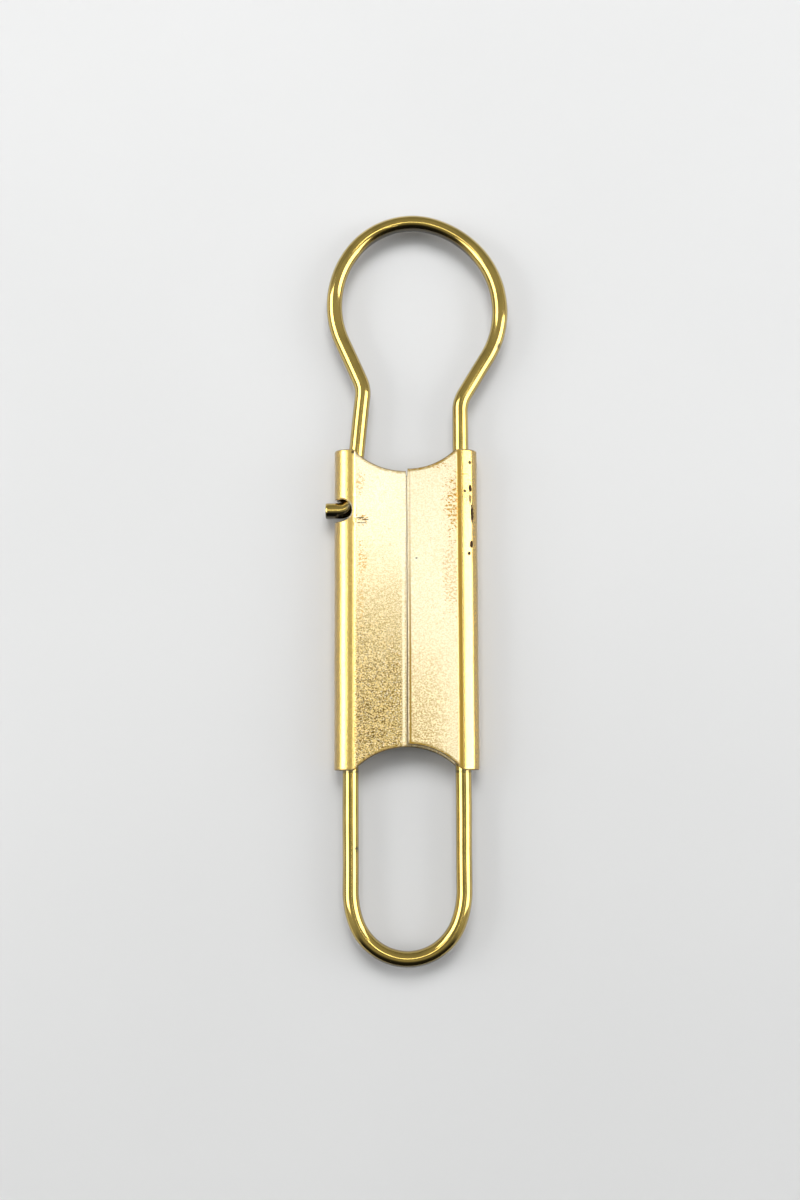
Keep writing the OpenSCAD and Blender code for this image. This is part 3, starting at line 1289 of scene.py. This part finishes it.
    def ends(self, points: np.ndarray) -> tuple[np.ndarray, np.ndarray]:
        """Where the sheet ends at the bottom and at the top of each station.

        Args:
            points: the section's plane points.

        Returns:
            The lower and the upper end along the sleeve.
        """
        half = self.scoop_w / 2
        radius = (half**2 + self.scoop_depth**2) / (2 * self.scoop_depth)
        inside = np.clip(radius**2 - points[:, 0] ** 2, 0.0, None)
        cut = np.sqrt(inside) - math.sqrt(radius**2 - half**2)
        step = np.where((points[:, 0] > 0) & (points[:, 1] > 0), self.flap_step, 0.0)
        low = np.maximum(self.bottom_y, self.bottom_y + cut + step)
        return low, np.minimum(self.top_y, self.top_y - cut + step)

    def rows(self) -> np.ndarray:
        """Shares of the length at which the rows stand, close together at both ends.

        Returns:
            The shares, from 0 to 1.
        """
        end = np.array(self.end_rows)
        stop = self.length - end[-1] - self.row_gap
        middle = np.arange(end[-1] + self.row_step, stop, self.row_step)
        return np.concatenate([end, middle, self.length - end[::-1]]) / self.length

    def build(self) -> bpy.types.Object:
        """Builds the sleeve and sets it on its body.

        Returns:
            The sleeve.
        """
        vertices, cuts, nears, faces = SheetMesh(self).solid()
        finish = self.finish.material(self.crease_in)
        kept = {Kept.SHEET_LAY: vertices, Kept.CUT_EDGE: cuts, Kept.NEAR_EDGE: nears}
        piece = add_mesh("folded_sleeve", vertices, faces, finish, kept)
        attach(piece, "sleeve")
        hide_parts("sleeve")
        return piece


@dataclass(frozen=True)
class Rim:
    """A cut edge of the flat sheet: its vertices, the way out at each, and its rounding."""

    edge: list[int]
    out: np.ndarray
    rounding: float


class SheetMesh:
    """The sleeve's sheet, meshed flat with its notch, then folded to its section."""

    def __init__(self, form: Sleeve) -> None:
        """Works out the stations of the section.

        Args:
            form: the sleeve's sizes.
        """
        self.form = form
        self.points = form.section()
        tangent = np.gradient(self.points, axis=0)
        self.normals = np.column_stack([tangent[:, 1], -tangent[:, 0]])
        self.normals /= np.linalg.norm(self.normals, axis=1)[:, None]
        self.lengths = lengths_along(self.points)
        self.flat: list[Point] = []
        self.quads: Faces = []
        self.rims: list[Rim] = []

    def _spine(self) -> Point:
        """Where the middle line of the stadium-shaped notch starts and ends, round the section.

        Returns:
            The two lengths from the seam.
        """
        form, stations = self.form, len(self.points)
        on_left = np.arange(stations) < stations // 2
        beyond = np.where((self.points[:, 0] < -form.notch_in) & on_left)[0]
        return self.lengths[beyond[0]] + form.notch_half, self.lengths[beyond[-1]] - form.notch_half

    def _lay_grid(self) -> None:
        """Meshes the flat sheet, with a hole for the notch."""
        form = self.form
        shares = form.rows()
        low, high = form.ends(self.points)
        low, high = low + form.edge_round, high - form.edge_round
        spread = self.lengths.copy()
        spread[0] += form.edge_round
        spread[-1] -= form.edge_round
        stations, rows = len(spread), len(shares)
        for s, start, end in zip(spread, low, high):
            self.flat += [(s, start + (end - start) * share) for share in shares]
        spine = self._spine()
        margin = form.notch_half + form.notch_round + form.notch_margin
        levels = form.bottom_y + shares * form.length
        i0, i1 = np.searchsorted(self.lengths, (spine[0] - margin, spine[1] + margin)).tolist()
        j0, j1 = np.searchsorted(levels, (form.notch_y - margin, form.notch_y + margin)).tolist()
        for i in range(stations - 1):
            for j in range(rows - 1):
                if not (i0 <= i < i1 and j0 <= j < j1):
                    a = i * rows + j
                    self.quads.append((a, a + 1, a + rows + 1, a + rows))
        self._lay_notch(self._around(rows, i0, i1, j0, j1), spine)
        edge = self._around(rows, 0, stations - 1, 0, rows - 1)
        self.rims.append(Rim(edge, self._outward(edge), form.edge_round))

    @staticmethod
    def _around(rows: int, i0: int, i1: int, j0: int, j1: int) -> list[int]:
        """The grid's vertices round a rectangle of it, counter-clockwise.

        Args:
            rows: how many rows the grid has.
            i0: the rectangle's first station.
            i1: its last station.
            j0: its first row.
            j1: its last row.

        Returns:
            The vertices.
        """
        around = [i * rows + j0 for i in range(i0, i1)]
        around += [i1 * rows + j for j in range(j0, j1)]
        around += [i * rows + j1 for i in range(i1, i0, -1)]
        return around + [i0 * rows + j for j in range(j1, j0, -1)]

    def _lay_notch(self, around: list[int], spine: Point) -> None:
        """Fills the space between the grid and the notch with rings.

        Args:
            around: the grid's vertices round the space, counter-clockwise.
            spine: where the notch's middle line starts and ends.
        """
        form, count = self.form, len(around)
        outer = np.array([self.flat[a] for a in around])
        nearest = np.column_stack([np.clip(outer[:, 0], *spine), np.full(count, form.notch_y)])
        ray = outer - nearest
        reach = np.linalg.norm(ray, axis=1)
        ray /= reach[:, None]
        ring = around
        inner_r = form.notch_half + form.notch_round
        for share in form.notch_rings:
            inner = list(range(len(self.flat), len(self.flat) + count))
            radius = inner_r + (reach - inner_r) * share
            self.flat += [tuple(p) for p in nearest + ray * radius[:, None]]
            self.quads += stitched(ring, inner, flipped=True)
            ring = inner
        self.rims.append(Rim(ring[::-1], -ray[::-1], form.notch_round))

    def _outward(self, edge: list[int]) -> np.ndarray:
        """The outward direction, in the flat sheet, at each vertex of its outer edge.

        Args:
            edge: the edge's vertices, counter-clockwise.

        Returns:
            The directions.
        """
        places = np.array([self.flat[e] for e in edge])
        tangent = np.roll(places, -1, axis=0) - np.roll(places, 1, axis=0)
        out = np.column_stack([tangent[:, 1], -tangent[:, 0]])
        return out / np.linalg.norm(out, axis=1)[:, None]

    def _fold(self, flat: np.ndarray, lift: np.ndarray) -> np.ndarray:
        """Folds flat points to the section.

        Args:
            flat: length from the seam and place along the sleeve of each point.
            lift: distance of each point from the middle surface.

        Returns:
            The folded points.
        """
        s, y = flat[:, 0], flat[:, 1]
        base = np.column_stack([np.interp(s, self.lengths, self.points[:, k]) for k in (0, 1)])
        normal = np.column_stack([np.interp(s, self.lengths, self.normals[:, k]) for k in (0, 1)])
        normal /= np.linalg.norm(normal, axis=1)[:, None]
        wave = sum(ripple.at(s, y) for ripple in self.form.waves)
        placed = base + normal * (lift + wave)[:, None]
        in_front = base[:, 1] > 0
        outer_share = 0.5 + lift / self.form.sheet_t
        sprung = np.where(in_front, self.form.warp(base[:, 0], y, outer_share), 0.0)
        near_seam = np.clip(1 - np.abs(base[:, 0]) / self.form.crease_in, 0.0, 1.0)
        shifted = np.where(in_front, self.form.seam_shift * near_seam, 0.0)
        return np.column_stack([placed[:, 0] + shifted, y, placed[:, 1] + sprung])

    def _near_edge(self, flat: np.ndarray) -> np.ndarray:
        """How near each flat point is to an end of the sheet.

        Args:
            flat: the flat points.

        Returns:
            1 at the end, and 0 from a reach inside it.
        """
        ends = self.form.ends(self.points)
        low, high = (np.interp(flat[:, 0], self.lengths, end) for end in ends)
        inside = np.minimum(flat[:, 1] - low, high - flat[:, 1])
        return np.clip(1 - inside / self.form.edge_reach, 0.0, 1.0)

    def solid(self) -> tuple[np.ndarray, np.ndarray, np.ndarray, Faces]:
        """Gives the sheet its thickness, with rounded edges.

        Returns:
            The vertices, how much each is cut edge and how near it is to an end, and the faces.
        """
        self._lay_grid()
        flat = np.array(self.flat)
        count = len(flat)
        half = self.form.sheet_t / 2
        places = [flat, flat]
        lifts = [np.full(count, half), np.full(count, -half)]
        cuts = [np.zeros(2 * count)]
        faces = self.quads + [tuple(count + v for v in reversed(q)) for q in self.quads]
        total = 2 * count
        for rim in self.rims:
            ring, size = rim.edge, len(rim.edge)
            for degrees, side in EDGE_TURNS:
                turned = math.radians(degrees)
                lift = side * (half - rim.rounding) + rim.rounding * math.cos(turned)
                places.append(flat[rim.edge] + rim.out * rim.rounding * math.sin(turned))
                lifts.append(np.full(size, lift))
                cuts.append(np.full(size, math.sin(turned) ** 2))
                following = list(range(total, total + size))
                total += size
                faces += stitched(ring, following)
                ring = following
            faces += stitched(ring, [count + e for e in rim.edge])
        flat_all = np.vstack(places)
        vertices = self._fold(flat_all, np.concatenate(lifts))
        return vertices, np.concatenate(cuts), self._near_edge(flat_all), faces


class Facing(Enum):
    """Which way a soft lamp stands from the clip."""

    LEFT = -1
    RIGHT = 1


class Lights(Enum):
    """What a lamp lights: the matt board, or the metal that mirrors it."""

    BOARD = "board"
    METAL = "metal"


@dataclass(frozen=True)
class SoftLamp:
    """A soft lamp: its lean from overhead, distance, size and brightness, where 1 is white."""

    name: str
    facing: Facing
    slant: float
    distance: float
    size: Point
    white: float
    forward: float = 0.0
    lights: Lights = Lights.METAL

    def hang(self, middle: Vector) -> None:
        """Hangs the lamp so that it faces the clip.

        Args:
            middle: the point that it faces.
        """
        turned = math.radians(self.slant)
        sideways = self.facing.value * math.sin(turned)
        away = Vector((sideways, self.forward, math.cos(turned))).normalized()
        light = bpy.data.lights.new(self.name, "AREA")
        light.shape = "RECTANGLE"
        light.size, light.size_y = self.size
        light.energy = self.white * math.pi * self.size[0] * self.size[1]
        lamp = put_in_scene(self.name, light)
        lamp.location = middle + away * self.distance
        lamp.rotation_mode = "QUATERNION"
        lamp.rotation_quaternion = upright(away)
        lamp.visible_camera = False
        lamp.visible_diffuse = self.lights is Lights.BOARD
        lamp.visible_glossy = self.lights is Lights.METAL


@dataclass(frozen=True)
class Room:
    """What the metal mirrors: bright to both sides, grey behind and overhead, dark in front."""

    bright: Colour = (0.5, 0.5, 0.5)
    near_back: Colour = (0.5, 0.5, 0.48)
    far_back: Colour = (0.34, 0.34, 0.32)
    overhead: Colour = (0.32, 0.31, 0.27)
    dark: Colour = (0.02, 0.02, 0.02)
    high_lean: float = 0.12
    side_least: float = 0.05
    wedge_back: Ramp = Ramp(0.85, 0.45)
    wedge_front: Ramp = Ramp(-1.0, -0.65)
    wedge_side: Ramp = Ramp(0.2, 0.45)
    back: Ramp = Ramp(0.24, 1.0)
    off_top: Ramp = Ramp(0.03, 0.2)
    front: Ramp = Ramp(-0.12, -0.72)

    def fill(self) -> None:
        """Sets the scene's world."""
        world = bpy.data.worlds.new("room")
        world.use_nodes = True
        bpy.context.scene.world = world
        recipe = Recipe(world.node_tree)
        towards = recipe.node("ShaderNodeTexCoord", {}, {}, "Generated")
        side, ahead, high = towards.part("X").size(), towards.part("Y"), towards.part("Z")
        lean = (ahead - high * self.high_lean) / (side + self.side_least)
        wedge = self.wedge_back.of(lean) * self.wedge_front.of(lean) * self.wedge_side.of(side)
        back = recipe.mix(self.back.of(ahead), self.near_back, self.far_back)
        over = recipe.mix(self.off_top.of(ahead.size()), self.overhead, back)
        dim = recipe.mix(self.front.of(ahead), over, self.dark)
        sockets = {"Color": recipe.mix(wedge, dim, self.bright), "Strength": 1.0}
        background = recipe.node("ShaderNodeBackground", {}, sockets)
        recipe.node("ShaderNodeOutputWorld", {}, {"Surface": background})


@dataclass
class Studio:
    """The board, the backdrop, the soft light, the room and the camera."""

    paint: BoardPaint = field(default_factory=BoardPaint)
    room: Room = field(default_factory=Room)
    board_half: float = 3.0
    board_gap: float = 0.03
    backdrop_r: float = 3.2
    backdrop_sides: int = 48
    backdrop_rings: int = 12
    backdrop_climb: float = 88.0
    focus: Point = (-0.97, 1.33)
    distance: float = 210.0
    tilt: float = 6.5
    roll: float = 0.22
    lens: float = 40.5
    sensor: float = 36.0
    nearest: float = 0.01
    lamps: tuple[SoftLamp, ...] = (
        SoftLamp("left_softbox", Facing.LEFT, 46.0, 0.5, (0.3, 0.44), 5.6, 0.1),
        SoftLamp("right_softbox", Facing.RIGHT, 56.0, 0.5, (0.38, 0.36), 5.1),
        SoftLamp("leg_strip", Facing.RIGHT, 11.0, 0.5, (0.012, 0.3), 4.2),
        SoftLamp("crown_strip", Facing.RIGHT, 0.0, 0.5, (0.4, 0.03), 6.0, 0.14),
        SoftLamp("rear_fill", Facing.RIGHT, 0.0, 0.7, (0.4, 0.34), 6.7, 0.8, Lights.BOARD),
        SoftLamp("left_fill", Facing.LEFT, 64.0, 0.5, (0.24, 0.24), 4.4, 0.1, Lights.BOARD),
        SoftLamp("right_fill", Facing.RIGHT, 64.0, 0.5, (0.24, 0.24), 3.7, 0.1, Lights.BOARD),
    )

    def build(self) -> None:
        """Sets everything up."""
        self._board()
        self._backdrop()
        middle = Vector(sleeve_middle()) * MM
        for lamp in self.lamps:
            lamp.hang(middle)
        self.room.fill()
        self._camera()

    def _board(self) -> None:
        """Lays the board just under the tubes' slight waves, with its far edge out of sight."""
        side, down = self.board_half, -self.board_gap * MM
        corners = ((-side, -side), (side, -side), (side, side), (-side, side))
        mesh = bpy.data.meshes.new("board")
        mesh.from_pydata([(*corner, down) for corner in corners], [], [(0, 1, 2, 3)])
        mesh.materials.append(self.paint.material())
        put_in_scene("board", mesh)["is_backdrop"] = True

    def _backdrop(self) -> None:
        """Stands a backdrop round the board that only the camera sees and that lights nothing."""
        points = []
        for i in range(self.backdrop_rings + 1):
            climb = math.radians(i / self.backdrop_rings * self.backdrop_climb)
            for j in range(self.backdrop_sides):
                turn = 2 * math.pi * j / self.backdrop_sides
                level = Vector((math.cos(turn), math.sin(turn), 0.0)) * math.cos(climb)
                points.append((level + Vector((0.0, 0.0, math.sin(climb)))) * self.backdrop_r)
        circles = [ring_at(i, self.backdrop_sides) for i in range(self.backdrop_rings + 1)]
        faces: Faces = [tuple(reversed(circles[-1]))]
        for low, high in zip(circles, circles[1:]):
            faces += stitched(low, high, flipped=True)
        mesh = bpy.data.meshes.new("backdrop")
        mesh.from_pydata(points, [], faces)
        mesh.materials.append(self.paint.backdrop())
        backdrop = put_in_scene("backdrop", mesh)
        backdrop.visible_diffuse = False
        backdrop.visible_glossy = False
        backdrop.visible_transmission = False
        backdrop.visible_shadow = False
        backdrop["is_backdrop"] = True

    def _camera(self) -> None:
        """Stands the camera over the clip, leaning a little towards its lower end."""
        middle = sleeve_middle()
        look = Vector((middle[0] + self.focus[0], middle[1] + self.focus[1], middle[2])) * MM
        up = Vector((math.sin(math.radians(self.roll)), math.cos(math.radians(self.roll)), 0.0))
        lean = math.radians(self.tilt)
        back = Vector((0, 0, 1)) * math.cos(lean) - up * math.sin(lean)
        data = bpy.data.cameras.new("camera")
        data.lens = self.lens
        data.sensor_width = self.sensor
        data.clip_start = self.nearest
        camera = put_in_scene("camera", data)
        camera.location = look + back * self.distance * MM
        camera.rotation_mode = "QUATERNION"
        camera.rotation_quaternion = upright(back, up)
        bpy.context.scene.camera = camera
        bpy.context.scene.view_settings.view_transform = "Standard"


def upright(back: Vector, up: Vector = Vector((0.0, 1.0, 0.0))) -> Quaternion:
    """The turn that points a lamp or a camera away from a direction, with its top towards another.

    Args:
        back: the direction that its back faces.
        up: the direction that its top faces.

    Returns:
        The turn.
    """
    side = up.cross(back).normalized()
    top = back.cross(side)
    return Matrix((side, top, back)).transposed().to_quaternion()


def main(cad_box: tuple[Vector, Vector]) -> None:
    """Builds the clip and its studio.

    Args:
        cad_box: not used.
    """
    logging.basicConfig(level=logging.INFO, format="%(name)s: %(message)s")
    Studio().build()
    for piece in [*Wire().build(), Sleeve().build()]:
        log.info("built %s", piece.name)


if __name__ == "__main__":
    main(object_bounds())
